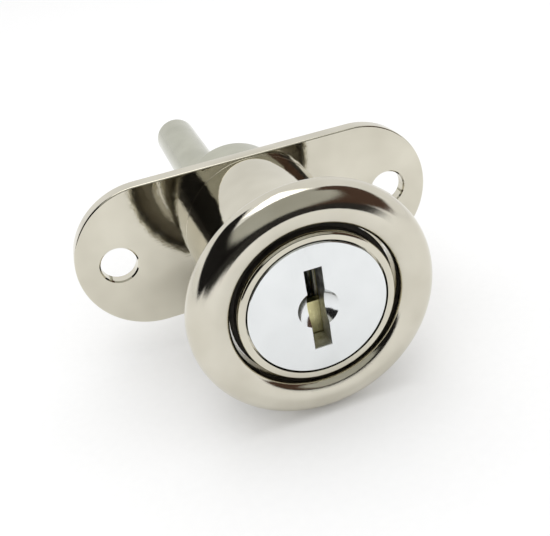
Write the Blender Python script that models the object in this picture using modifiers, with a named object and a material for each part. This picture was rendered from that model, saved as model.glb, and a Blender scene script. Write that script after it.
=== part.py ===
"""Furniture lock with an eccentric drive pin.

Every piece is modelled in the lock's own frame: local +Z runs along the lock axis to the
front, local +X to the right and local +Y up. The empty lock_axis turns that frame so that
the key face looks along world -Y. Heights h are measured from the flange's front face.
"""

import math

import bmesh
import bpy

MM = 0.001
GAP = 0.3 * MM
ROUND = 48

# Housing
BARREL_R = 10.0 * MM
RIM_R = 9.5 * MM
RIM_H = 1.6 * MM
FACE_H = 23.4 * MM
FLANGE_L = 50.4 * MM
FLANGE_W = 20.6 * MM
FLANGE_T = 2.0 * MM
SCREW_SPAN = 39.0 * MM
SCREW_HOLE_R = 2.45 * MM
BOSS_R = 8.6 * MM
BOSS_LOW = -5.0 * MM
BORE_R = 7.55 * MM

# Plug
PLUG_R = 7.45 * MM
HEAD_R = 8.42 * MM
HEAD_T = 1.45 * MM
COUNTERBORE_R = 8.6 * MM
KEYWAY_W = 2.1 * MM
KEYWAY_TALL = 10.55 * MM
KEYWAY_LOW = 7.4 * MM
DIMPLE_R = 2.5 * MM
DIMPLE_DEEP = 1.1 * MM
TAIL_W = 5.0 * MM

# Wafers, from the front one backwards
WAFERS = 6
WAFER_PITCH = 2.2 * MM
FIRST_WAFER_H = 19.9 * MM
WAFER_T = 1.0 * MM
WAFER_W = 5.0 * MM
WAFER_R = 7.3 * MM
SLOT_CLEAR = 0.15 * MM
WINDOW_W = 2.4 * MM
WINDOW_TALL = 6.0 * MM
WINDOW_LOWS = (-0.8, -2.3, -1.4, -2.9, -2.0, -1.1)
LUG_REACH = 1.6 * MM
LUG_LOW = 0.7 * MM
LUG_TOP = 2.0 * MM
POCKET_LOW = -4.5 * MM
POCKET_TOP = 3.2 * MM
GROOVE_R = 8.5 * MM

# Retainer wafer
RETAINER_H = 5.4 * MM
RETAINER_LOW = -2.2 * MM
RETAINER_TOP = 7.95 * MM
RETAINER_SLOT_LOW = -6.4 * MM
RING_R = 8.45 * MM

# Springs
SPRING_R = 0.42 * MM
SPRING_WIRE_R = 0.1 * MM
SPRING_TURNS = 5
SPRING_STEPS = 8

# Driver, its pins, and the stop that limits the turn to half a circle
DRIVER_R = 7.9 * MM
DRIVER_TOP = -6.7 * MM
DRIVER_LOW = -12.2 * MM
DRIVER_SOCKET = 2.8 * MM
STOP_H = 1.4 * MM
STOP_IN = 5.8 * MM
DRIVER_LUG_R = 7.4 * MM
LUG_ANGLE = math.radians(60)
STOP_SLACK = math.radians(1.5)
PIN_R = 3.2 * MM
PIN_AT = (-3.65 * MM, 2.3 * MM)
PIN_TIP = -35.5 * MM
PIN_CHAMFER = 0.6 * MM
CROSS_R = 0.75 * MM
CROSS_H = -8.1 * MM

# Rosette
ROSETTE_R = 15.0 * MM
ROSETTE_HOLE_R = 10.25 * MM
SHEET = 0.7 * MM


def empty_scene():
    for old in list(bpy.data.objects):
        bpy.data.objects.remove(old, do_unlink=True)


def new_collection(name):
    made = bpy.data.collections.new(name)
    bpy.context.scene.collection.children.link(made)
    return made


def material(name, colour, roughness, metallic=1.0):
    made = bpy.data.materials.new(name)
    made.use_nodes = True
    shader = made.node_tree.nodes["Principled BSDF"]
    shader.inputs["Base Color"].default_value = (*colour, 1.0)
    shader.inputs["Roughness"].default_value = roughness
    shader.inputs["Metallic"].default_value = metallic
    return made


def place(name, mesh, collection, parent=None, finish=None):
    made = bpy.data.objects.new(name, mesh)
    collection.objects.link(made)
    made.parent = parent or lock_axis
    if finish:
        mesh.materials.append(finish)
    return made


def part(name, mesh, finish, parent=None):
    made = place(name, mesh, parts, parent, finish)
    mesh.shade_smooth()
    mesh.set_sharp_from_angle(angle=math.radians(35))
    return made


def helper(name, mesh):
    made = place(name, mesh, cutters)
    made.hide_render = True
    made.display_type = "WIRE"
    return made


def boolean(target, other, operation="DIFFERENCE"):
    modifier = target.modifiers.new(f"{operation.lower()} {other.name}", "BOOLEAN")
    modifier.operation = operation
    modifier.solver = "EXACT"
    modifier.object = other


def rod(name, radius, low, high, at=(0.0, 0.0), steps=ROUND):
    mesh = bpy.data.meshes.new(name)
    shape = bmesh.new()
    bmesh.ops.create_cone(
        shape, cap_ends=True, segments=steps, radius1=radius, radius2=radius, depth=high - low
    )
    bmesh.ops.translate(shape, vec=(at[0], at[1], (low + high) / 2), verts=shape.verts)
    shape.to_mesh(mesh)
    shape.free()
    return mesh


def block(name, across, upright, along):
    """A box between two limits on local X, Y and Z."""
    mesh = bpy.data.meshes.new(name)
    shape = bmesh.new()
    bmesh.ops.create_cube(shape, size=1.0)
    limits = (across, upright, along)
    bmesh.ops.scale(shape, vec=[high - low for low, high in limits], verts=shape.verts)
    bmesh.ops.translate(shape, vec=[(low + high) / 2 for low, high in limits], verts=shape.verts)
    shape.to_mesh(mesh)
    shape.free()
    return mesh


def turned(name, profile, steps=ROUND, closed=False):
    """A solid of revolution about local Z, from (radius, height) points, top to bottom outside."""
    mesh = bpy.data.meshes.new(name)
    edges = [(i, i + 1) for i in range(len(profile) - 1)]
    if closed:
        edges.append((len(profile) - 1, 0))
    mesh.from_pydata([(radius, 0.0, height) for radius, height in profile], edges, [])
    helper_object = bpy.data.objects.new(name, mesh)
    parts.objects.link(helper_object)
    screw = helper_object.modifiers.new("turn", "SCREW")
    screw.axis = "Z"
    screw.steps = steps
    screw.render_steps = steps
    screw.use_merge_vertices = True
    screw.merge_threshold = 0.00001
    return solid_of(helper_object)


def solid_of(source):
    """The evaluated mesh of an object, welded, with the object and its own data removed."""
    graph = bpy.context.evaluated_depsgraph_get()
    mesh = bpy.data.meshes.new_from_object(source.evaluated_get(graph))
    shape = bmesh.new()
    shape.from_mesh(mesh)
    bmesh.ops.remove_doubles(shape, verts=shape.verts, dist=0.000001)
    shape.to_mesh(mesh)
    shape.free()
    mesh.name = source.name
    bpy.data.objects.remove(source)
    return mesh


def plate(name, outline, low, high):
    """A flat outline, extruded between two heights."""
    curve = bpy.data.curves.new(name, "CURVE")
    curve.dimensions = "2D"
    curve.fill_mode = "BOTH"
    curve.extrude = (high - low) / 2
    spline = curve.splines.new("POLY")
    spline.points.add(len(outline) - 1)
    for point, (x, y) in zip(spline.points, outline):
        point.co = (x, y, 0.0, 1.0)
    spline.use_cyclic_u = True
    made = bpy.data.objects.new(name, curve)
    parts.objects.link(made)
    bpy.context.view_layer.update()
    mesh = solid_of(made)
    for vertex in mesh.vertices:
        vertex.co.z += (low + high) / 2
    return mesh


def arc(radius, start, end, steps, centre=(0.0, 0.0)):
    """Points along a circle, from one angle to another."""
    turns = [start + (end - start) * i / steps for i in range(steps + 1)]
    return [(centre[0] + radius * math.cos(a), centre[1] + radius * math.sin(a)) for a in turns]


def sector(name, inner, outer, start, end, low, high):
    """A slice of a flat ring."""
    steps = max(4, round(ROUND * (end - start) / (2 * math.pi)))
    outline = arc(outer, start, end, steps) + arc(inner, end, start, steps)
    return plate(name, outline, low, high)


def wafer_height(number):
    return FIRST_WAFER_H - number * WAFER_PITCH


def make_housing(finish):
    outer = [
        (0.0, FACE_H),
        (RIM_R - 0.3 * MM, FACE_H),
        (RIM_R, FACE_H - 0.3 * MM),
        (RIM_R, FACE_H - RIM_H),
        (BARREL_R, FACE_H - RIM_H - 0.2 * MM),
        (BARREL_R, -FLANGE_T / 2),
        (BOSS_R, -FLANGE_T / 2),
        (BOSS_R, BOSS_LOW + 0.3 * MM),
        (BOSS_R - 0.3 * MM, BOSS_LOW),
        (0.0, BOSS_LOW),
    ]
    housing = part("housing", turned("housing", outer), finish)
    end_r = FLANGE_W / 2
    end_x = FLANGE_L / 2 - end_r
    half = ROUND // 2
    right = arc(end_r, -math.pi / 2, math.pi / 2, half, (end_x, 0.0))
    left = arc(end_r, math.pi / 2, 3 * math.pi / 2, half, (-end_x, 0.0))
    flange = helper("flange_plate", plate("flange_plate", right + left, -FLANGE_T, 0.0))
    boolean(housing, flange, "UNION")
    boolean(housing, stop_sector(), "UNION")
    bore = [
        (0.0, FACE_H + MM),
        (COUNTERBORE_R, FACE_H + MM),
        (COUNTERBORE_R, FACE_H - HEAD_T - 0.2 * MM),
        (BORE_R, FACE_H - HEAD_T - 0.2 * MM),
        (BORE_R, RETAINER_H + 0.85 * MM),
        (RING_R, RETAINER_H + 0.85 * MM),
        (RING_R, RETAINER_H - 0.85 * MM),
        (BORE_R, RETAINER_H - 0.85 * MM),
        (BORE_R, BOSS_LOW - 0.1 * MM),
        (0.0, BOSS_LOW - 0.1 * MM),
    ]
    boolean(housing, helper("bore_cutter", turned("bore_cutter", bore)))
    groove_x = WAFER_W / 2 + 0.2 * MM
    low = wafer_height(WAFERS - 1) - MM
    high = wafer_height(0) + 0.8 * MM
    groove = block("groove_cutter", (-groove_x, groove_x), (-GROOVE_R, GROOVE_R), (low, high))
    boolean(housing, helper("groove_cutter", groove))
    for side, name in ((-1, "left"), (1, "right")):
        at = (side * SCREW_SPAN / 2, 0.0)
        hole = rod(f"{name}_hole_cutter", SCREW_HOLE_R, -FLANGE_T - MM, MM, at, 32)
        boolean(housing, helper(f"{name}_hole_cutter", hole))
    return housing


def stop_sector():
    """The raised slice behind the boss that stops the driver's lug at each end of its turn."""
    start = LUG_ANGLE / 2 + STOP_SLACK
    end = math.pi - LUG_ANGLE / 2 - STOP_SLACK
    low = BOSS_LOW - STOP_H
    high = BOSS_LOW + 0.4 * MM
    outer = BOSS_R - 0.4 * MM
    return helper("stop_sector", sector("stop_sector", STOP_IN, outer, start, end, low, high))


def make_rosette(finish):
    """A pressed ring: rounded outer edge, shallow dished face, rolled inner lip and a short collar."""
    face = [
        (ROSETTE_HOLE_R, FACE_H - 3.0 * MM),
        (ROSETTE_HOLE_R, FACE_H - 0.9 * MM),
        (ROSETTE_HOLE_R + 0.3 * MM, FACE_H - 0.3 * MM),
        (ROSETTE_HOLE_R + 0.95 * MM, FACE_H + 0.12 * MM),
        (ROSETTE_HOLE_R + 2.2 * MM, FACE_H + 0.45 * MM),
        (ROSETTE_R - 1.8 * MM, FACE_H + 0.4 * MM),
        (ROSETTE_R - 0.8 * MM, FACE_H + 0.05 * MM),
        (ROSETTE_R - 0.2 * MM, FACE_H - 0.7 * MM),
        (ROSETTE_R, FACE_H - 1.5 * MM),
        (ROSETTE_R, FACE_H - 2.3 * MM),
    ]
    back = [
        (ROSETTE_R - SHEET, FACE_H - 2.3 * MM),
        (ROSETTE_R - SHEET, FACE_H - 1.6 * MM),
        (ROSETTE_R - 1.0 * MM, FACE_H - 1.0 * MM),
        (ROSETTE_R - 1.9 * MM, FACE_H - 0.4 * MM),
        (ROSETTE_HOLE_R + 2.2 * MM, FACE_H - 0.25 * MM),
        (ROSETTE_HOLE_R + 1.15 * MM, FACE_H - 0.6 * MM),
        (ROSETTE_HOLE_R + SHEET, FACE_H - 1.2 * MM),
        (ROSETTE_HOLE_R + SHEET, FACE_H - 3.0 * MM),
    ]
    return part("rosette", turned("rosette", face + back, closed=True), finish)


def make_plug(finish):
    shoulder = BOSS_LOW + 0.6 * MM
    outer = [
        (0.0, FACE_H),
        (HEAD_R - 0.15 * MM, FACE_H),
        (HEAD_R, FACE_H - 0.15 * MM),
        (HEAD_R, FACE_H - HEAD_T),
        (PLUG_R, FACE_H - HEAD_T),
        (PLUG_R, shoulder),
        (0.0, shoulder),
    ]
    plug = part("plug", turned("plug", outer), finish, plug_axis)
    half = TAIL_W / 2
    tail_low = DRIVER_TOP - DRIVER_SOCKET + 0.2 * MM
    tail = block("tail", (-half, half), (-half, half), (tail_low, shoulder + MM))
    boolean(plug, helper("tail", tail), "UNION")
    boolean(plug, dimple_cutter())
    keyway_x = KEYWAY_W / 2
    keyway_y = KEYWAY_TALL / 2
    keyway_z = (KEYWAY_LOW, FACE_H + MM)
    keyway = block("keyway", (-keyway_x, keyway_x), (-keyway_y, keyway_y), keyway_z)
    boolean(plug, helper("keyway", keyway))
    for number in range(WAFERS):
        boolean(plug, wafer_slot(number))
    slot_x = WAFER_W / 2 + SLOT_CLEAR
    along = (RETAINER_H - WAFER_T / 2 - SLOT_CLEAR, RETAINER_H + WAFER_T / 2 + SLOT_CLEAR)
    slot = block("retainer_slot", (-slot_x, slot_x), (RETAINER_SLOT_LOW, PLUG_R + MM), along)
    boolean(plug, helper("retainer_slot", slot))
    boolean(plug, helper("tail_cross_hole", cross_rod("tail_cross_hole", CROSS_R + 0.1 * MM)))
    return plug


def dimple_cutter():
    """A shallow cone, point inwards, round the middle of the key slot."""
    mesh = bpy.data.meshes.new("dimple")
    shape = bmesh.new()
    proud = 0.5 * MM
    slope = DIMPLE_R / DIMPLE_DEEP
    bmesh.ops.create_cone(
        shape,
        cap_ends=True,
        segments=ROUND,
        radius1=0.0,
        radius2=DIMPLE_R + slope * proud,
        depth=DIMPLE_DEEP + proud,
    )
    bmesh.ops.remove_doubles(shape, verts=shape.verts, dist=0.000001)
    middle = FACE_H + (proud - DIMPLE_DEEP) / 2
    bmesh.ops.translate(shape, vec=(0.0, 0.0, middle), verts=shape.verts)
    bmesh.ops.recalc_face_normals(shape, faces=shape.faces)
    shape.to_mesh(mesh)
    shape.free()
    return helper("dimple", mesh)


def wafer_slot(number):
    """The cross slot of one wafer, with its spring pocket on the right."""
    height = wafer_height(number)
    along = (height - WAFER_T / 2 - SLOT_CLEAR, height + WAFER_T / 2 + SLOT_CLEAR)
    slot_x = WAFER_W / 2 + SLOT_CLEAR
    pocket_x = WAFER_W / 2 + LUG_REACH + SLOT_CLEAR
    name = f"slot_{number + 1}"
    outline = [
        (-slot_x, -PLUG_R - MM),
        (slot_x, -PLUG_R - MM),
        (slot_x, POCKET_LOW),
        (pocket_x, POCKET_LOW),
        (pocket_x, POCKET_TOP),
        (slot_x, POCKET_TOP),
        (slot_x, PLUG_R + MM),
        (-slot_x, PLUG_R + MM),
    ]
    return helper(name, plate(name, outline, *along))


def make_wafer(number, finish):
    """A brass plate with a key window, round ends that follow the plug, and a side lug."""
    name = f"wafer_{number + 1}"
    height = wafer_height(number)
    half = WAFER_W / 2
    corner = math.asin(half / WAFER_R)
    top = arc(WAFER_R, math.pi / 2 - corner, math.pi / 2 + corner, 6)
    bottom = arc(WAFER_R, 1.5 * math.pi - corner, 1.5 * math.pi + corner, 6)
    lug = [
        (half, LUG_LOW),
        (half + LUG_REACH, LUG_LOW),
        (half + LUG_REACH, LUG_TOP),
        (half, LUG_TOP),
    ]
    body = plate(name, top + bottom + lug, height - WAFER_T / 2, height + WAFER_T / 2)
    wafer = part(name, body, finish, plug_axis)
    low = WINDOW_LOWS[number] * MM
    window_x = (-WINDOW_W / 2, WINDOW_W / 2)
    window_y = (low, low + WINDOW_TALL)
    window = block(f"window_{number + 1}", window_x, window_y, (height - MM, height + MM))
    boolean(wafer, helper(f"window_{number + 1}", window))
    return wafer


def make_retainer(finish):
    half = WAFER_W / 2
    reach = math.sqrt(RETAINER_TOP**2 - half**2)
    corner = math.atan2(half, reach)
    top = arc(RETAINER_TOP, math.pi / 2 - corner, math.pi / 2 + corner, 6)
    outline = top + [(-half, RETAINER_LOW), (half, RETAINER_LOW)]
    along = (RETAINER_H - WAFER_T / 2, RETAINER_H + WAFER_T / 2)
    return part("retainer_wafer", plate("retainer_wafer", outline, *along), finish, plug_axis)


def make_spring(name, x, low, high, height, finish):
    """A compression spring along local Y, between two levels."""
    steps = SPRING_TURNS * SPRING_STEPS
    start = low + SPRING_WIRE_R
    travel = high - low - 2 * SPRING_WIRE_R
    curve = bpy.data.curves.new(name, "CURVE")
    curve.dimensions = "3D"
    curve.bevel_depth = SPRING_WIRE_R
    curve.bevel_resolution = 1
    curve.use_fill_caps = True
    spline = curve.splines.new("POLY")
    spline.points.add(steps)
    for i, point in enumerate(spline.points):
        angle = 2 * math.pi * i / SPRING_STEPS
        across = x + SPRING_R * math.cos(angle)
        along = height + SPRING_R * math.sin(angle)
        point.co = (across, start + travel * i / steps, along, 1.0)
    made = bpy.data.objects.new(name, curve)
    parts.objects.link(made)
    bpy.context.view_layer.update()
    return part(name, solid_of(made), finish, plug_axis)


def cross_rod(name, radius):
    """A round bar along local X, through the driver and the plug's tail."""
    length = DRIVER_R - 0.5 * MM
    mesh = rod(name, radius, -length, length, steps=16)
    for vertex in mesh.vertices:
        x, y, z = vertex.co
        vertex.co = (z, x, CROSS_H + y)
    return mesh


def make_driver(finish):
    chamfer = 0.4 * MM
    outer = [
        (0.0, DRIVER_TOP),
        (DRIVER_R - chamfer, DRIVER_TOP),
        (DRIVER_R, DRIVER_TOP - chamfer),
        (DRIVER_R, DRIVER_LOW + chamfer),
        (DRIVER_R - chamfer, DRIVER_LOW),
        (0.0, DRIVER_LOW),
    ]
    driver = part("driver", turned("driver", outer), finish, plug_axis)
    heights = (DRIVER_TOP - MM, BOSS_LOW - GAP)
    lug = sector("driver_lug", STOP_IN, DRIVER_LUG_R, -LUG_ANGLE / 2, LUG_ANGLE / 2, *heights)
    boolean(driver, helper("driver_lug", lug), "UNION")
    half = TAIL_W / 2 + 0.1 * MM
    socket = (DRIVER_TOP - DRIVER_SOCKET, DRIVER_TOP + 3 * MM)
    boolean(driver, helper("square_socket", block("square_socket", (-half, half), (-half, half), socket)))
    pin_hole = rod("pin_hole", PIN_R + 0.1 * MM, DRIVER_LOW - MM, pin_seat(), PIN_AT)
    boolean(driver, helper("pin_hole", pin_hole))
    boolean(driver, helper("hub_cross_hole", cross_hole()))
    return driver


def cross_hole():
    mesh = cross_rod("hub_cross_hole", CROSS_R + 0.1 * MM)
    for vertex in mesh.vertices:
        vertex.co.x *= 1.5
    return mesh


def pin_seat():
    """The bottom of the drive pin's hole, behind the square socket."""
    return DRIVER_TOP - DRIVER_SOCKET - 0.5 * MM


def make_drive_pin(finish):
    profile = [
        (0.0, pin_seat() - 0.1 * MM),
        (PIN_R, pin_seat() - 0.1 * MM),
        (PIN_R, PIN_TIP + PIN_CHAMFER),
        (PIN_R - PIN_CHAMFER, PIN_TIP),
        (0.0, PIN_TIP),
    ]
    mesh = turned("drive_pin", profile)
    for vertex in mesh.vertices:
        vertex.co.x += PIN_AT[0]
        vertex.co.y += PIN_AT[1]
    return part("drive_pin", mesh, finish, plug_axis)


empty_scene()
parts = new_collection("furniture_lock")
cutters = new_collection("cutters")
cutters.hide_render = True

lock_axis = bpy.data.objects.new("lock_axis", None)
parts.objects.link(lock_axis)
lock_axis.rotation_euler = (math.pi / 2, 0.0, 0.0)
plug_axis = bpy.data.objects.new("plug_axis", None)
parts.objects.link(plug_axis)
plug_axis.parent = lock_axis

nickel = material("cast_nickel", (0.62, 0.60, 0.54), 0.28)
brushed = material("brushed_nickel", (0.66, 0.63, 0.56), 0.32)
chrome = material("chrome", (0.80, 0.82, 0.84), 0.12)
brass = material("brass", (0.55, 0.47, 0.20), 0.35)
steel = material("steel", (0.60, 0.60, 0.56), 0.3)
wire = material("spring_wire", (0.45, 0.44, 0.42), 0.35)

make_housing(nickel)
make_rosette(brushed)
make_plug(chrome)
spring_x = WAFER_W / 2 + LUG_REACH / 2
for wafer_number in range(WAFERS):
    make_wafer(wafer_number, brass)
    make_spring(
        f"wafer_spring_{wafer_number + 1}",
        spring_x,
        POCKET_LOW + 0.1 * MM,
        LUG_LOW - 0.1 * MM,
        wafer_height(wafer_number),
        wire,
    )
make_retainer(brass)
spring_low = RETAINER_SLOT_LOW + 0.1 * MM
make_spring("retainer_spring", 0.0, spring_low, RETAINER_LOW - 0.1 * MM, RETAINER_H, wire)
make_driver(nickel)
make_drive_pin(steel)
part("cross_pin", cross_rod("cross_pin", CROSS_R), steel, plug_axis)
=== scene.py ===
"""Looks of the furniture lock: fine meshes, procedural metals, a pale studio and the camera.

Fine pieces are modelled in the lock's own frame, as (x, up, h): h runs along the lock axis
to the front, from the flange's front face. TO_WORLD turns that frame into the model's.
"""

import math

import bmesh
import bpy
from mathutils import Matrix, Vector


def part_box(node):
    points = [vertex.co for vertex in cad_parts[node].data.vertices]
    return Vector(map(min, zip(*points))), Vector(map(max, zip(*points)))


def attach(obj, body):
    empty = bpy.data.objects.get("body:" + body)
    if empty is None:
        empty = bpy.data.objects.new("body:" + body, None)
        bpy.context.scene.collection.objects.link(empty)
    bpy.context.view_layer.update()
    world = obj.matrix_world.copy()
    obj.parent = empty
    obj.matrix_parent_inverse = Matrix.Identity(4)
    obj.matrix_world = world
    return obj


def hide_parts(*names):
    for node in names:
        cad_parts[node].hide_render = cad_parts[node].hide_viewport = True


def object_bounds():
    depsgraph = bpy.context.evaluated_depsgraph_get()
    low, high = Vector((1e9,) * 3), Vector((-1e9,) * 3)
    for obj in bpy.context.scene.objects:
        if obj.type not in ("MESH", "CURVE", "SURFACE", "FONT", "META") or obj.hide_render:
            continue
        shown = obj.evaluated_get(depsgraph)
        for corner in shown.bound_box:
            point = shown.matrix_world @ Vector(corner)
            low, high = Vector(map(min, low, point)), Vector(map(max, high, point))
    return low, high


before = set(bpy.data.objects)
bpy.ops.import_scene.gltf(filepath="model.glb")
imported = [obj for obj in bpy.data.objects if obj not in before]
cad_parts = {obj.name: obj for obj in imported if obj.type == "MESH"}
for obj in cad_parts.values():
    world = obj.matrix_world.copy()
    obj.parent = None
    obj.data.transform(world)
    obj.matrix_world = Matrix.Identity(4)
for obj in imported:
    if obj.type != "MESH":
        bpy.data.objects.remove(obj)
cad_low, cad_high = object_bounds()

MM = 0.001
TO_WORLD = Matrix.Rotation(math.pi / 2, 4, "X")
ROUND = 256

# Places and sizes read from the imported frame
housing_low, housing_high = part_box("housing")
rosette_low, rosette_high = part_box("rosette")
_, plug_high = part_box("plug")
driver_low, driver_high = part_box("driver")
pin_low, pin_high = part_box("drive_pin")
wafer_low, wafer_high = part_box("wafer_1")
retainer_low, retainer_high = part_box("retainer_wafer")
cross_low, cross_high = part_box("cross_pin")

FACE_H = -housing_low.y
FLANGE_L = housing_high.x - housing_low.x
FLANGE_W = housing_high.z - housing_low.z
HEAD_R = plug_high.x
TAIL_H = -plug_high.y
ROSETTE_R = rosette_high.x
ROSETTE_BACK = -rosette_high.y
DRIVER_R = driver_high.x
DRIVER_LUG_H = -driver_low.y
DRIVER_LOW = -driver_high.y
PIN_R = (pin_high.x - pin_low.x) / 2
PIN_AT = ((pin_high.x + pin_low.x) / 2, (pin_high.z + pin_low.z) / 2)
PIN_SEAT = -pin_low.y
PIN_TIP = -pin_high.y
WAFER_H = -(wafer_low.y + wafer_high.y) / 2
WAFER_T = wafer_high.y - wafer_low.y
RETAINER_H = -(retainer_low.y + retainer_high.y) / 2
CROSS_R = (cross_high.z - cross_low.z) / 2
CROSS_H = -(cross_low.y + cross_high.y) / 2
CROSS_HALF = cross_high.x

# Housing
BARREL_R = 10.0 * MM
RIM_R = 9.5 * MM
RIM_H = 1.6 * MM
COUNTERBORE_R = 8.6 * MM
COUNTERBORE_H = 1.65 * MM
BORE_R = 7.55 * MM
RING_R = 8.45 * MM
RING_HALF = 0.85 * MM
FLANGE_T = 2.0 * MM
SCREW_SPAN = 39.0 * MM
SCREW_HOLE_R = 2.45 * MM
HOLE_FRONT_LIP = 0.2 * MM
HOLE_REAR_LIP = 0.5 * MM
FLANGE_EDGE_R = 0.2 * MM
# The faces round the rim that get painted shade: out from this radius, between these heights
PAINTED_SHADE_FROM_R = 9.4 * MM
PAINTED_SHADE_TOP = FACE_H - 0.5 * MM
PAINTED_SHADE_LOW = FACE_H - 1.9 * MM
BOSS_R = 8.6 * MM
BOSS_LOW = -5.0 * MM
STOP_H = 1.4 * MM
STOP_IN = 5.8 * MM
STOP_FROM = math.radians(31.5)
GROOVE_R = 8.5 * MM

# Plug and wafers
PLUG_R = 7.45 * MM
HEAD_T = 1.45 * MM
KEYWAY_W = 2.1 * MM
KEYWAY_TALL = 10.55 * MM
KEYWAY_LOW = 7.4 * MM
DIMPLE_R = 2.5 * MM
DIMPLE_DEEP = 1.1 * MM
TAIL_W = 5.0 * MM
WAFERS = 6
WAFER_PITCH = 2.2 * MM
WAFER_W = 5.0 * MM
WAFER_R = 7.3 * MM
SLOT_CLEAR = 0.15 * MM
LUG_REACH = 1.6 * MM
LUG_LEVELS = (0.7 * MM, 2.0 * MM)
POCKET = (-4.5 * MM, 3.2 * MM)
WINDOW_W = 2.4 * MM
WINDOW = (-0.8 * MM, 5.2 * MM)
RETAINER_SLOT_LOW = -6.4 * MM

# Driver
DRIVER_TOP = -6.7 * MM
DRIVER_SOCKET = 2.8 * MM
DRIVER_LUG = (5.8 * MM, 7.4 * MM)
LUG_HALF = math.radians(30)

# Rosette
ROSETTE_HOLE_R = 10.25 * MM
SHEET = 0.7 * MM

# Camera
CAMERA_AT = (-0.02112, -0.09556, 0.05057)
CAMERA_TURN = (58.894, 8.62, -18.236)
CAMERA_LENS = 52.36
CAMERA_SHIFT = (0.0022, 0.00485)


# ---------------------------------------------------------------- mesh helpers


def rounded(profile, steps=5):
    """The points of an outline given as (a, b, corner radius), with each corner made an arc."""
    points = []
    for i, (a, b, corner) in enumerate(profile):
        here = Vector((a, b))
        if not corner:
            points.append(here)
            continue
        back = (Vector(profile[i - 1][:2]) - here).normalized()
        on = (Vector(profile[(i + 1) % len(profile)][:2]) - here).normalized()
        half = back.angle(on) / 2
        centre = here + (back + on).normalized() * corner / math.sin(half)
        first = here + back * corner / math.tan(half) - centre
        last = here + on * corner / math.tan(half) - centre
        start = math.atan2(first.y, first.x)
        turn = math.remainder(math.atan2(last.y, last.x) - start, 2 * math.pi)
        for step in range(steps + 1):
            angle = start + turn * step / steps
            points.append(centre + corner * Vector((math.cos(angle), math.sin(angle))))
    return points


def smooth_curve(points, steps=8):
    """A Catmull-Rom curve through a list of (a, b) points."""
    knots = [Vector(point) for point in points]
    knots = [2 * knots[0] - knots[1], *knots, 2 * knots[-1] - knots[-2]]
    curve = []
    for p0, p1, p2, p3 in zip(knots, knots[1:], knots[2:], knots[3:]):
        for step in range(steps):
            t = step / steps
            curve.append(
                0.5
                * (
                    2 * p1
                    + (p2 - p0) * t
                    + (2 * p0 - 5 * p1 + 4 * p2 - p3) * t**2
                    + (3 * p1 - p0 - 3 * p2 + p3) * t**3
                )
            )
    curve.append(knots[-2])
    return curve


def circle(radius, height, at=(0.0, 0.0), steps=ROUND):
    """A ring of points round the lock's axis, or round another line along it."""
    turns = [2 * math.pi * i / steps for i in range(steps)]
    return [
        Vector((at[0] + radius * math.cos(a), at[1] + radius * math.sin(a), height)) for a in turns
    ]


def loft(rings, around=False):
    """A closed skin through rings of points. A ring of one point closes an end."""
    shape = bmesh.new()
    rows = [[shape.verts.new(point) for point in ring] for ring in rings]
    pairs = list(zip(rows, rows[1:]))
    if around:
        pairs.append((rows[-1], rows[0]))
    for low, high in pairs:
        count = max(len(low), len(high))
        for i in range(count):
            j = (i + 1) % count
            corners = [low[i % len(low)], high[i % len(high)], high[j % len(high)], low[j % len(low)]]
            shape.faces.new(list(dict.fromkeys(corners)))
    bmesh.ops.recalc_face_normals(shape, faces=shape.faces)
    return shape


def turned(profile, at=(0.0, 0.0), steps=ROUND, around=False):
    """A solid of revolution from (radius, height) points; a radius of 0 closes an end."""
    rings = []
    for radius, height in profile:
        if radius > 0:
            rings.append(circle(radius, height, at, steps))
        else:
            rings.append([Vector((*at, height))])
    return loft(rings, around)


def prism(outline, low, high):
    """A flat outline of (x, up) points, extruded between two heights."""
    shape = bmesh.new()
    floor = [shape.verts.new((x, y, low)) for x, y in outline]
    roof = [shape.verts.new((x, y, high)) for x, y in outline]
    for i in range(len(outline)):
        j = (i + 1) % len(outline)
        shape.faces.new((floor[i], floor[j], roof[j], roof[i]))
    shape.faces.new(floor)
    shape.faces.new(roof)
    bmesh.ops.recalc_face_normals(shape, faces=shape.faces)
    return shape


def block(across, upright, along):
    """A box between two limits on x, up and h."""
    (x0, x1), (y0, y1) = across, upright
    return prism([(x0, y0), (x1, y0), (x1, y1), (x0, y1)], *along)


def flared(half_x, half_y, low, mouth, flare):
    """A square-cornered slot cutter that widens just under the face it is cut into."""
    proud = 0.5 * MM
    rings = []
    for height, wider in ((low, 0.0), (mouth - flare, 0.0), (mouth + proud, flare + proud)):
        x, y = half_x + wider, half_y + wider
        rings.append([Vector((a * x, b * y, height)) for a, b in ((-1, -1), (1, -1), (1, 1), (-1, 1))])
    shape = loft(rings)
    bmesh.ops.holes_fill(shape, edges=shape.edges)
    bmesh.ops.recalc_face_normals(shape, faces=shape.faces)
    return shape


def arc(radius, start, end, steps):
    """Points along a circle round the lock's axis, from one angle to another."""
    turns = [start + (end - start) * i / steps for i in range(steps + 1)]
    return [(radius * math.cos(a), radius * math.sin(a)) for a in turns]


def sector(inner, outer, start, end, low, high):
    """A slice of a flat ring."""
    steps = round(ROUND * (end - start) / (4 * math.pi))
    return prism(arc(outer, start, end, steps) + arc(inner, end, start, steps), low, high)


def cross_bore(radius, reach):
    """A round bar across the lock, through the driver and the plug's tail."""
    shape = turned([(0.0, -reach), (radius, -reach), (radius, reach), (0.0, reach)], steps=48)
    for vertex in shape.verts:
        x, y, z = vertex.co
        vertex.co = (z, x, CROSS_H + y)
    bmesh.ops.recalc_face_normals(shape, faces=shape.faces)
    return shape


def placed(name, shape):
    """An object from a shape in the lock's frame."""
    mesh = bpy.data.meshes.new(name)
    shape.to_mesh(mesh)
    shape.free()
    mesh.transform(TO_WORLD)
    made = bpy.data.objects.new(name, mesh)
    bpy.context.scene.collection.objects.link(made)
    return made


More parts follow.
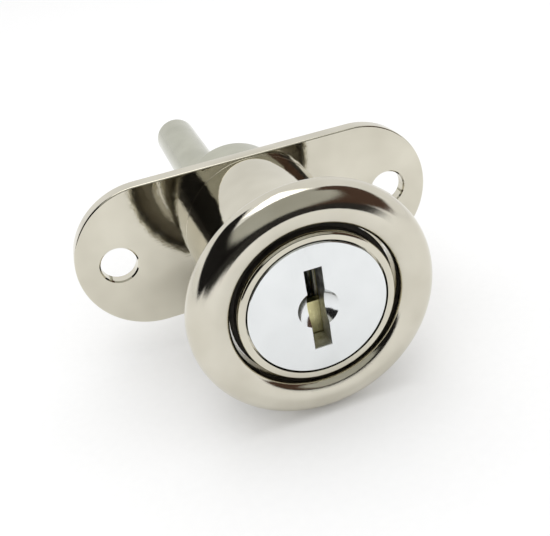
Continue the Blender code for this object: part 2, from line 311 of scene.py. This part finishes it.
def apply_modifiers(target):
    """Makes the target's modified mesh its own."""
    bpy.context.view_layer.update()
    graph = bpy.context.evaluated_depsgraph_get()
    mesh = bpy.data.meshes.new_from_object(target.evaluated_get(graph))
    target.modifiers.clear()
    target.data = mesh


def combine(target, shape, operation="DIFFERENCE"):
    """Cuts a shape out of the target, or joins it on."""
    other = placed("tool", shape)
    modifier = target.modifiers.new(operation.lower(), "BOOLEAN")
    modifier.operation = operation
    modifier.solver = "EXACT"
    modifier.object = other
    apply_modifiers(target)
    bpy.data.objects.remove(other)


def soften(target, width, segments=3, limit=32):
    """Rounds the edges that are sharper than the limit, in degrees."""
    modifier = target.modifiers.new("soften", "BEVEL")
    modifier.width = width
    modifier.segments = segments
    modifier.limit_method = "ANGLE"
    modifier.angle_limit = math.radians(limit)
    modifier.use_clamp_overlap = True
    modifier.miter_outer = "MITER_ARC"
    apply_modifiers(target)


def dressed(target, finish, body, nodes):
    """Gives a finished piece its material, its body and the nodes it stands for."""
    target.data.materials.clear()
    target.data.materials.append(finish)
    target.data.shade_smooth()
    target.data.set_sharp_from_angle(angle=math.radians(30))
    target.modifiers.new("flat faces stay flat", "WEIGHTED_NORMAL").keep_sharp = True
    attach(target, body)
    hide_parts(*nodes)
    return target


def lined(target, finish, chosen):
    """Gives a second material to the faces chosen by their polygon, radius and height."""
    target.data.materials.append(finish)
    for polygon in target.data.polygons:
        x, y, z = polygon.center
        if chosen(polygon, math.hypot(x, z), -y):
            polygon.material_index = 1


# ---------------------------------------------------------------- the pieces


def stadium(inset, height):
    """The flange's outline, drawn in by an inset, with its points spread by angle."""
    end_r = FLANGE_W / 2 - inset
    end_x = FLANGE_L / 2 - FLANGE_W / 2
    points = []
    for i in range(ROUND):
        angle = 2 * math.pi * i / ROUND
        cos, sin = math.cos(angle), math.sin(angle)
        reach = end_r / max(abs(sin), 1e-9)
        if reach * abs(cos) > end_x:
            across = end_x * abs(cos)
            reach = across + math.sqrt(across**2 - end_x**2 + end_r**2)
        points.append(Vector((reach * cos, reach * sin, height)))
    return points


def flange_rings():
    """The flange from the foot of the barrel, round its edge, to the boss behind it."""
    steps = 4
    front = []
    rear = []
    for step in range(steps + 1):
        angle = math.pi / 2 * step / steps
        out = FLANGE_EDGE_R * (1 - math.sin(angle))
        along = FLANGE_EDGE_R * (1 - math.cos(angle))
        front.append(stadium(out, -along))
        rear.append(stadium(along, out - FLANGE_T))
    return front + rear


def wafer_height(number):
    """The middle of a wafer, counted from the front one backwards."""
    return WAFER_H - number * WAFER_PITCH


def in_groove(_, reach, height):
    """Whether a face of the housing is down in the groove round the rim, where shade is painted on."""
    return reach > PAINTED_SHADE_FROM_R and PAINTED_SHADE_LOW < height < PAINTED_SHADE_TOP


def make_housing(finish, shade_paint):
    """The casting: rim, barrel, flange with its screw holes, boss, stop and the bores inside."""
    front = rounded(
        [
            (COUNTERBORE_R, FACE_H - COUNTERBORE_H, 0.0),
            (COUNTERBORE_R, FACE_H, 0.06 * MM),
            (RIM_R, FACE_H, 0.3 * MM),
            (RIM_R, FACE_H - 0.55 * MM, 0.0),
            (RIM_R, FACE_H - RIM_H, 0.1 * MM),
            (BARREL_R, FACE_H - RIM_H - 0.2 * MM, 0.15 * MM),
            (BARREL_R, 0.0, 0.05 * MM),
            (BARREL_R + 0.08 * MM, 0.0, 0.0),
        ]
    )
    rear = rounded(
        [
            (BOSS_R + 0.8 * MM, -FLANGE_T, 0.0),
            (BOSS_R, -FLANGE_T, 0.5 * MM),
            (BOSS_R, BOSS_LOW, 0.3 * MM),
            (BORE_R, BOSS_LOW, 0.1 * MM),
            (BORE_R, RETAINER_H - RING_HALF, 0.0),
            (RING_R, RETAINER_H - RING_HALF, 0.0),
            (RING_R, RETAINER_H + RING_HALF, 0.0),
            (BORE_R, RETAINER_H + RING_HALF, 0.0),
            (BORE_R, FACE_H - COUNTERBORE_H, 0.0),
        ]
    )
    rings = [circle(*point) for point in front] + flange_rings() + [circle(*point) for point in rear]
    housing = placed("housing_casting", loft(rings, around=True))
    for side in (-1, 1):
        wall = [
            (0.0, MM),
            (SCREW_HOLE_R + MM + HOLE_FRONT_LIP, MM),
            (SCREW_HOLE_R, -HOLE_FRONT_LIP),
            (SCREW_HOLE_R, HOLE_REAR_LIP - FLANGE_T),
            (SCREW_HOLE_R + MM + HOLE_REAR_LIP, -FLANGE_T - MM),
            (0.0, -FLANGE_T - MM),
        ]
        combine(housing, turned(wall, (side * SCREW_SPAN / 2, 0.0), 96))
    stop = sector(
        STOP_IN,
        BOSS_R - 0.4 * MM,
        STOP_FROM,
        math.pi - STOP_FROM,
        BOSS_LOW - STOP_H,
        BOSS_LOW + 0.4 * MM,
    )
    combine(housing, stop, "UNION")
    groove_x = WAFER_W / 2 + 0.2 * MM
    along = (wafer_height(WAFERS - 1) - MM, WAFER_H + 0.8 * MM)
    combine(housing, block((-groove_x, groove_x), (-GROOVE_R, GROOVE_R), along))
    dressed(housing, finish, "root", ["housing"])
    # painted shade: the groove round the rim gets a near-black colour in place of its shadow
    lined(housing, shade_paint, in_groove)
    return housing


def offset_curve(points, distance):
    """A curve's points moved sideways by a distance, to the left of its direction."""
    moved = []
    for i, here in enumerate(points):
        before = points[max(i - 1, 0)]
        after = points[min(i + 1, len(points) - 1)]
        along = (after - before).normalized()
        moved.append(here + distance * Vector((-along.y, along.x)))
    return moved


def make_rosette(finish, back_finish):
    """A pressed ring: collar, rolled inner lip, dished face and a rounded outer edge."""
    inner = ROSETTE_HOLE_R
    outer = ROSETTE_R
    crest = -rosette_low.y
    face = smooth_curve(
        [
            (inner, ROSETTE_BACK + 0.12 * MM),
            (inner, crest - 1.5 * MM),
            (inner + 0.1 * MM, crest - 0.95 * MM),
            (inner + 0.42 * MM, crest - 0.52 * MM),
            (inner + 1.0 * MM, crest - 0.26 * MM),
            (inner + 1.9 * MM, crest - 0.03 * MM),
            (outer - 2.2 * MM, crest - 0.08 * MM),
            (outer - 1.5 * MM, crest - 0.27 * MM),
            (outer - 0.9 * MM, crest - 0.6 * MM),
            (outer - 0.4 * MM, crest - 1.15 * MM),
            (outer - 0.1 * MM, crest - 1.85 * MM),
            (outer - 0.02 * MM, crest - 2.6 * MM),
        ]
    )
    back = offset_curve(face, -SHEET)
    lip = 0.5 * SHEET
    outer_end = [
        (face[-1] + back[-1]) / 2 + lip * Vector((math.cos(a), math.sin(a)))
        for a in (-math.pi * i / 8 for i in range(1, 8))
    ]
    inner_end = [
        (face[0] + back[0]) / 2 + lip * Vector((math.cos(a), 0.3 * math.sin(a)))
        for a in (-math.pi * i / 8 for i in range(1, 8))
    ]
    profile = face + outer_end + back[::-1] + inner_end
    rosette = placed("rosette_ring", turned(profile, around=True))
    dressed(rosette, finish, "root", ["rosette"])
    start = ROUND * (len(face) + len(outer_end))
    behind = range(start, start + ROUND * len(back))
    lined(rosette, back_finish, lambda polygon, *_: polygon.index in behind)
    return rosette


def wafer_slot(number):
    """The cross slot of one wafer, with its spring pocket on the right."""
    height = wafer_height(number)
    along = (height - WAFER_T / 2 - SLOT_CLEAR, height + WAFER_T / 2 + SLOT_CLEAR)
    slot_x = WAFER_W / 2 + SLOT_CLEAR
    pocket_x = slot_x + LUG_REACH
    end = PLUG_R + MM
    outline = [
        (-slot_x, -end),
        (slot_x, -end),
        (slot_x, POCKET[0]),
        (pocket_x, POCKET[0]),
        (pocket_x, POCKET[1]),
        (slot_x, POCKET[1]),
        (slot_x, end),
        (-slot_x, end),
    ]
    return prism(outline, *along)


def in_slot(polygon, reach, height):
    """Whether a face of the plug is a wall or a floor of its slots."""
    upright = abs(polygon.normal.y) < 0.05
    return reach < PLUG_R - 0.1 * MM and (upright or height < FACE_H - 1.5 * MM)


def make_plug(finish, raw):
    """The turning cylinder: head with its dished face, key slot, wafer slots and square tail."""
    shoulder = BOSS_LOW + 0.6 * MM
    sphere = (DIMPLE_R**2 + DIMPLE_DEEP**2) / (2 * DIMPLE_DEEP)
    steps = 16
    reaches = [DIMPLE_R * step / steps for step in range(steps + 1)]
    dish = [(r, FACE_H - DIMPLE_DEEP + sphere - math.sqrt(sphere**2 - r**2), 0.0) for r in reaches]
    outer = rounded(
        [
            *dish,
            (HEAD_R, FACE_H, 0.16 * MM),
            (HEAD_R, FACE_H - HEAD_T, 0.1 * MM),
            (PLUG_R, FACE_H - HEAD_T, 0.0),
            (PLUG_R, shoulder, 0.2 * MM),
            (0.0, shoulder, 0.0),
        ]
    )
    plug = placed("key_plug", turned(outer))
    half = TAIL_W / 2
    combine(plug, block((-half, half), (-half, half), (TAIL_H, shoulder + MM)), "UNION")
    combine(plug, flared(KEYWAY_W / 2, KEYWAY_TALL / 2, KEYWAY_LOW, FACE_H, 0.07 * MM))
    for number in range(WAFERS):
        combine(plug, wafer_slot(number))
    slot_x = WAFER_W / 2 + SLOT_CLEAR
    along = (RETAINER_H - WAFER_T / 2 - SLOT_CLEAR, RETAINER_H + WAFER_T / 2 + SLOT_CLEAR)
    combine(plug, block((-slot_x, slot_x), (RETAINER_SLOT_LOW, PLUG_R + MM), along))
    combine(plug, cross_bore(CROSS_R + 0.1 * MM, TAIL_W))
    dressed(plug, finish, "plug", ["plug"])
    lined(plug, raw, in_slot)
    return plug


def make_front_wafer(finish):
    """The brass wafer that shows in the key slot, stamped with rounded edges."""
    half = WAFER_W / 2
    corner = math.asin(half / WAFER_R)
    top = arc(WAFER_R, math.pi / 2 - corner, math.pi / 2 + corner, 12)
    bottom = arc(WAFER_R, 1.5 * math.pi - corner, 1.5 * math.pi + corner, 12)
    low, high = LUG_LEVELS
    lug = [(half, low), (half + LUG_REACH, low), (half + LUG_REACH, high), (half, high)]
    levels = (WAFER_H - WAFER_T / 2, WAFER_H + WAFER_T / 2)
    wafer = placed("front_wafer", prism(top + bottom + lug, *levels))
    window_x = WINDOW_W / 2
    combine(wafer, block((-window_x, window_x), WINDOW, (WAFER_H - MM, WAFER_H + MM)))
    soften(wafer, 0.08 * MM)
    return dressed(wafer, finish, "wafer_1", ["wafer_1"])


def make_driver(finish):
    """The hub behind the flange: lug, square socket, drive pin's hole and cross hole."""
    outer = rounded(
        [
            (0.0, DRIVER_TOP, 0.0),
            (DRIVER_R, DRIVER_TOP, 0.4 * MM),
            (DRIVER_R, DRIVER_LOW, 0.5 * MM),
            (0.0, DRIVER_LOW, 0.0),
        ]
    )
    driver = placed("driver_hub", turned(outer))
    lug = sector(*DRIVER_LUG, -LUG_HALF, LUG_HALF, DRIVER_TOP - MM, DRIVER_LUG_H)
    combine(driver, lug, "UNION")
    half = TAIL_W / 2 + 0.1 * MM
    socket = (DRIVER_TOP - DRIVER_SOCKET, DRIVER_LUG_H + MM)
    combine(driver, block((-half, half), (-half, half), socket))
    seat = PIN_SEAT + 0.1 * MM
    hole_r = PIN_R + 0.1 * MM
    pin_hole = [(0.0, seat), (hole_r, seat), (hole_r, DRIVER_LOW - MM), (0.0, DRIVER_LOW - MM)]
    combine(driver, turned(pin_hole, PIN_AT, 128))
    combine(driver, cross_bore(CROSS_R + 0.1 * MM, 1.5 * DRIVER_R))
    soften(driver, 0.12 * MM)
    return dressed(driver, finish, "plug", ["driver"])


def make_drive_pin(finish):
    """The eccentric round bar, with a chamfered tip."""
    profile = rounded(
        [
            (0.0, PIN_SEAT, 0.0),
            (PIN_R, PIN_SEAT, 0.2 * MM),
            (PIN_R, PIN_TIP + 0.6 * MM, 0.25 * MM),
            (PIN_R - 0.6 * MM, PIN_TIP, 0.15 * MM),
            (0.0, PIN_TIP, 0.0),
        ]
    )
    pin = placed("eccentric_pin", turned(profile, PIN_AT, 128))
    return dressed(pin, finish, "plug", ["drive_pin"])


def make_roll_pin(finish):
    """A rolled spring pin through the driver: a thin split tube with drawn-in ends."""
    gap = math.radians(16)
    wall = 0.22 * MM
    chamfer = 0.2 * MM
    rings = []
    for level, inset in (
        (-CROSS_HALF, 0.1 * MM),
        (chamfer - CROSS_HALF, 0.0),
        (CROSS_HALF - chamfer, 0.0),
        (CROSS_HALF, 0.1 * MM),
    ):
        outline = arc(CROSS_R - inset, gap, 2 * math.pi - gap, 40)
        outline += arc(CROSS_R - wall, 2 * math.pi - gap, gap, 40)
        rings.append([Vector((level, x, CROSS_H + y)) for x, y in outline])
    shape = loft(rings)
    bmesh.ops.holes_fill(shape, edges=shape.edges)
    bmesh.ops.recalc_face_normals(shape, faces=shape.faces)
    return dressed(placed("roll_pin", shape), finish, "plug", ["cross_pin"])


# ---------------------------------------------------------------- materials


class Finish:
    """A node material with one Principled shader, and short ways to build its inputs."""

    def __init__(self, name, roughness=0.3, metallic=1.0):
        self.material = bpy.data.materials.new(name)
        self.material.use_nodes = True
        self.tree = self.material.node_tree
        self.shader = self.tree.nodes["Principled BSDF"]
        self.shader.inputs["Roughness"].default_value = roughness
        self.shader.inputs["Metallic"].default_value = metallic
        self.place = self.node("ShaderNodeTexCoord").outputs["Object"]

    def node(self, kind, **settings):
        made = self.tree.nodes.new(kind)
        for key, value in settings.items():
            setattr(made, key, value)
        return made

    def link(self, source, target):
        self.tree.links.new(source, target)

    def maths(self, operation, *values):
        made = self.node("ShaderNodeMath", operation=operation)
        for socket, value in zip(made.inputs, values):
            if isinstance(value, (int, float)):
                socket.default_value = value
            else:
                self.link(value, socket)
        return made.outputs[0]

    def noise(self, scale, detail=3.0, stretch=(1.0, 1.0, 1.0), place=None, turn=(0.0, 0.0, 0.0)):
        """Noise with its own scale per axis, in features per metre."""
        mapping = self.node("ShaderNodeMapping")
        mapping.inputs["Scale"].default_value = stretch
        mapping.inputs["Rotation"].default_value = turn
        self.link(place or self.place, mapping.inputs["Vector"])
        made = self.node("ShaderNodeTexNoise")
        made.inputs["Scale"].default_value = scale
        made.inputs["Detail"].default_value = detail
        self.link(mapping.outputs[0], made.inputs["Vector"])
        return made.outputs[0]

    def spread(self, value, low, high, start=0.3, end=0.7):
        """A value's range from start to end, stretched to run from low to high."""
        made = self.node("ShaderNodeMapRange")
        for name, number in (("From Min", start), ("From Max", end), ("To Min", low), ("To Max", high)):
            made.inputs[name].default_value = number
        self.link(value, made.inputs["Value"])
        return made.outputs[0]

    def radial(self, fine=1.0):
        """Coordinates that turn with the angle round the lock axis and barely change outwards."""
        parts = self.node("ShaderNodeSeparateXYZ")
        self.link(self.place, parts.inputs[0])
        x, _, z = parts.outputs
        squares = [self.maths("MULTIPLY", value, value) for value in (x, z)]
        reach = self.maths("SQRT", self.maths("ADD", *squares))
        joined = self.node("ShaderNodeCombineXYZ")
        self.link(self.maths("DIVIDE", x, reach), joined.inputs[0])
        self.link(self.maths("MULTIPLY", reach, fine), joined.inputs[1])
        self.link(self.maths("DIVIDE", z, reach), joined.inputs[2])
        return joined.outputs[0]

    def colour(self, factor, first, second):
        made = self.node("ShaderNodeMix", data_type="RGBA")
        made.inputs[6].default_value = (*first, 1.0)
        made.inputs[7].default_value = (*second, 1.0)
        self.link(factor, made.inputs[0])
        self.link(made.outputs[2], self.shader.inputs["Base Color"])

    def rough(self, value):
        self.link(value, self.shader.inputs["Roughness"])

    def bump(self, height, distance, strength=1.0, under=None):
        made = self.node("ShaderNodeBump")
        made.inputs["Strength"].default_value = strength
        made.inputs["Distance"].default_value = distance
        self.link(height, made.inputs["Height"])
        if under:
            self.link(under, made.inputs["Normal"])
        self.link(made.outputs[0], self.shader.inputs["Normal"])
        return made.outputs[0]


def cast_nickel():
    """Nickel plate over a die casting, lightly brushed along the flange."""
    finish = Finish("nickel_over_casting")
    tone = finish.noise(140.0, 2.0)
    finish.colour(finish.spread(tone, 0.0, 1.0), (0.58, 0.55, 0.46), (0.68, 0.65, 0.55))
    streaks = finish.noise(1.0, 4.0, (260.0, 260.0, 5200.0))
    finish.rough(finish.spread(streaks, 0.03, 0.10))
    under = finish.bump(finish.noise(700.0, 3.0), 0.00002, 0.5)
    finish.bump(streaks, 0.000006, 0.5, under)
    return finish.material


def brushed_nickel():
    """Nickel plated sheet with fine radial brushing."""
    finish = Finish("radial_brushed_nickel")
    around = finish.radial(60.0)
    streaks = finish.noise(260.0, 4.0, place=around)
    tone = finish.noise(200.0, 2.0)
    finish.colour(finish.spread(tone, 0.0, 1.0), (0.60, 0.57, 0.48), (0.68, 0.65, 0.56))
    finish.rough(finish.spread(streaks, 0.03, 0.10))
    finish.bump(streaks, 0.000008, 0.5)
    return finish.material


def dull_back():
    """The unpolished back of the pressed ring."""
    finish = Finish("dull_back")
    tone = finish.noise(300.0, 4.0)
    finish.colour(finish.spread(tone, 0.0, 1.0), (0.18, 0.16, 0.12), (0.26, 0.235, 0.18))
    finish.rough(finish.spread(tone, 0.38, 0.6))
    finish.bump(tone, 0.00002, 0.4)
    return finish.material


def groove_painted_shade():
    """Painted shade: a near-black colour down in the groove round the rim, standing for the shadow in
    the gap inside the rosette's hole.
    """
    finish = Finish("groove_painted_shade", metallic=0.3)
    tone = finish.noise(900.0, 4.0)
    finish.colour(finish.spread(tone, 0.0, 1.0), (0.012, 0.010, 0.008), (0.045, 0.038, 0.030))
    finish.rough(finish.spread(tone, 0.5, 0.8))
    finish.bump(tone, 0.00001, 0.4)
    return finish.material


def raw_zinc():
    """Unplated casting inside the key slot."""
    finish = Finish("raw_zinc")
    tone = finish.noise(1400.0, 4.0)
    finish.colour(finish.spread(tone, 0.0, 1.0), (0.45, 0.45, 0.43), (0.85, 0.85, 0.83))
    finish.rough(finish.spread(tone, 0.4, 0.6))
    finish.bump(tone, 0.00003, 0.5)
    return finish.material


def chrome():
    """Bright chrome on the key face, with faint hairline scratches."""
    finish = Finish("chrome_plate")
    tone = finish.noise(220.0, 2.0)
    finish.colour(finish.spread(tone, 0.0, 1.0), (0.76, 0.78, 0.785), (0.81, 0.83, 0.835))
    scratches = finish.noise(1.0, 5.0, (7000.0, 7000.0, 240.0), turn=(0.0, 0.5, 0.0))
    finish.rough(finish.spread(scratches, 0.04, 0.20))
    finish.bump(scratches, 0.000003, 0.8)
    return finish.material


def brass():
    """Stamped brass sheet, grained across the wafers."""
    finish = Finish("stamped_brass")
    tone = finish.noise(500.0, 3.0)
    finish.colour(finish.spread(tone, 0.0, 1.0), (0.58, 0.53, 0.26), (0.76, 0.71, 0.40))
    grain = finish.noise(1.0, 4.0, (9000.0, 900.0, 900.0))
    finish.rough(finish.spread(grain, 0.25, 0.45))
    finish.bump(grain, 0.00001, 0.4)
    return finish.material


def pin_steel():
    """Plated round bar, with faint turning marks."""
    finish = Finish("plated_bar")
    tone = finish.noise(180.0, 2.0)
    finish.colour(finish.spread(tone, 0.0, 1.0), (0.42, 0.42, 0.345), (0.50, 0.50, 0.415))
    rings = finish.noise(1.0, 3.0, (300.0, 6000.0, 300.0))
    finish.rough(finish.spread(rings, 0.10, 0.20))
    finish.bump(rings, 0.000005, 0.4)
    return finish.material


def wire_steel():
    """Drawn spring wire."""
    finish = Finish("spring_steel")
    tone = finish.noise(900.0, 2.0)
    finish.colour(finish.spread(tone, 0.0, 1.0), (0.42, 0.41, 0.39), (0.56, 0.55, 0.52))
    finish.rough(finish.spread(tone, 0.25, 0.45))
    finish.bump(tone, 0.00001, 0.3)
    return finish.material


def paper():
    """The floor: matt white paper with a faint tooth."""
    finish = Finish("white_paper", 0.9, 0.0)
    finish.shader.inputs["Specular IOR Level"].default_value = 0.1
    tooth = finish.noise(900.0, 4.0)
    finish.colour(tooth, (0.90, 0.90, 0.90), (0.93, 0.93, 0.93))
    finish.bump(tooth, 0.00002, 0.2)
    return finish.material


# ---------------------------------------------------------------- studio


def make_floor():
    """A wide sheet of paper just under the lock."""
    mesh = bpy.data.meshes.new("floor")
    shape = bmesh.new()
    bmesh.ops.create_grid(shape, x_segments=8, y_segments=8, size=2.0)
    shape.to_mesh(mesh)
    shape.free()
    floor = bpy.data.objects.new("floor", mesh)
    bpy.context.scene.collection.objects.link(floor)
    floor.location.z = cad_low.z - 0.3 * MM
    mesh.materials.append(paper())


def strip(name, path, distance, colour):
    """A curved screen round the lock, as photographers hang them.

    Its path is (azimuth, elevation, half width), in degrees. Azimuth 0 is in front of the lock
    and 90 on its right.
    """
    steps, columns = 6, 12
    points = smooth_curve(path, steps)
    directions = []
    for azimuth, elevation, _ in points:
        a, e = math.radians(azimuth), math.radians(elevation)
        directions.append(Vector((math.sin(a) * math.cos(e), -math.cos(a) * math.cos(e), math.sin(e))))
    shape = bmesh.new()
    rows = []
    for i, (here, point) in enumerate(zip(directions, points)):
        onward = directions[min(i + 1, len(points) - 1)] - directions[max(i - 1, 0)]
        row = []
        for column in range(columns + 1):
            angle = math.radians(point[2]) * (2 * column / columns - 1)
            row.append(shape.verts.new(distance * (Matrix.Rotation(angle, 3, onward) @ here)))
        rows.append(row)
    for low, high in zip(rows, rows[1:]):
        for i in range(columns):
            shape.faces.new((low[i], low[i + 1], high[i + 1], high[i]))
    hang(name, shape, colour)


def floor_card(name, path, colour):
    """A card that lies on the floor in front of the lock.

    Its path is (azimuth, near distance, far distance), in degrees and metres.
    """
    height = cad_low.z - 0.1 * MM
    shape = bmesh.new()
    rows = []
    for azimuth, near, far in smooth_curve(path):
        a = math.radians(azimuth)
        rows.append([shape.verts.new((r * math.sin(a), -r * math.cos(a), height)) for r in (near, far)])
    for low, high in zip(rows, rows[1:]):
        shape.faces.new((low[0], low[1], high[1], high[0]))
    hang(name, shape, colour)


def hang(name, shape, colour):
    """A matt screen from a shape, seen only in reflections."""
    mesh = bpy.data.meshes.new(name)
    shape.to_mesh(mesh)
    shape.free()
    mesh.shade_smooth()
    cloth = Finish(name, 1.0, 0.0)
    cloth.shader.inputs["Base Color"].default_value = (*colour, 1.0)
    mesh.materials.append(cloth.material)
    screen = bpy.data.objects.new(name, mesh)
    bpy.context.scene.collection.objects.link(screen)
    screen.visible_camera = False
    screen.visible_diffuse = False
    screen.visible_shadow = False


def make_screens():
    """The grey screen in front, the dark cloths round its edge and the dark card on the floor."""
    grey = [(5, -12, 20), (5, -5, 34), (5, 5, 42), (5, 20, 55), (5, 40, 66), (5, 60, 60), (5, 74, 50)]
    left = [(-140, 47, 12), (-112, 45, 16), (-84, 34, 20), (-56, 15, 22), (-30, 0, 18), (-6, -8, 12)]
    left += [(12, -8, 9), (28, -6, 7)]
    right = [(14, -10, 7), (30, 1, 11), (50, 17, 15), (66, 33, 15), (70, 46, 12), (58, 60, 8)]
    edge = [(-44, 0.20), (-30, 0.12), (-10, 0.10), (10, 0.095), (26, 0.105), (36, 0.17)]
    on_floor = [(azimuth, near, 1.2) for azimuth, near in edge]
    floor_card("dark_card", on_floor, (0.010, 0.008, 0.007))
    strip("grey_screen", grey, 0.45, (0.46, 0.46, 0.42))
    strip("black_cloth", left, 0.40, (0.004, 0.003, 0.003))
    strip("brown_cloth", right, 0.40, (0.075, 0.040, 0.026))


def area_light(name, at, size, power):
    """A soft square light aimed at the lock."""
    data = bpy.data.lights.new(name, "AREA")
    data.energy = power
    data.size = size
    light = bpy.data.objects.new(name, data)
    bpy.context.scene.collection.objects.link(light)
    light.location = at
    light.rotation_euler = (-Vector(at)).to_track_quat("-Z", "Y").to_euler()


def make_world():
    """Even white light from every side."""
    world = bpy.data.worlds.new("white_tent")
    bpy.context.scene.world = world
    world.use_nodes = True
    background = world.node_tree.nodes["Background"]
    background.inputs["Color"].default_value = (1.0, 1.0, 1.0, 1.0)
    background.inputs["Strength"].default_value = 0.97


def make_camera():
    """The camera, in front of the lock, above it and a little to its left."""
    data = bpy.data.cameras.new("camera")
    data.lens = CAMERA_LENS
    data.shift_x, data.shift_y = CAMERA_SHIFT
    data.clip_start = 0.005
    camera = bpy.data.objects.new("camera", data)
    bpy.context.scene.collection.objects.link(camera)
    camera.location = CAMERA_AT
    camera.rotation_euler = [math.radians(turn) for turn in CAMERA_TURN]
    bpy.context.scene.camera = camera


# ---------------------------------------------------------------- the scene

nickel = cast_nickel()
brass_plate = brass()
steel = pin_steel()
wire = wire_steel()

# the housing, with painted shade in the groove round the rim
make_housing(nickel, groove_painted_shade())
make_rosette(brushed_nickel(), dull_back())
make_plug(chrome(), raw_zinc())
make_front_wafer(brass_plate)
make_driver(steel)
make_drive_pin(steel)
make_roll_pin(steel)

carried = {"retainer_wafer": brass_plate, "retainer_spring": wire}
for number in range(1, WAFERS + 1):
    carried[f"wafer_spring_{number}"] = wire
for number in range(2, WAFERS + 1):
    carried[f"wafer_{number}"] = brass_plate
for name, finish in carried.items():
    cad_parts[name].data.materials.clear()
    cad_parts[name].data.materials.append(finish)

make_floor()
make_world()
make_screens()
area_light("soft_top", (-0.03, -0.02, 0.45), 0.3, 0.5)
make_camera()
bpy.context.scene.view_settings.view_transform = "Standard"
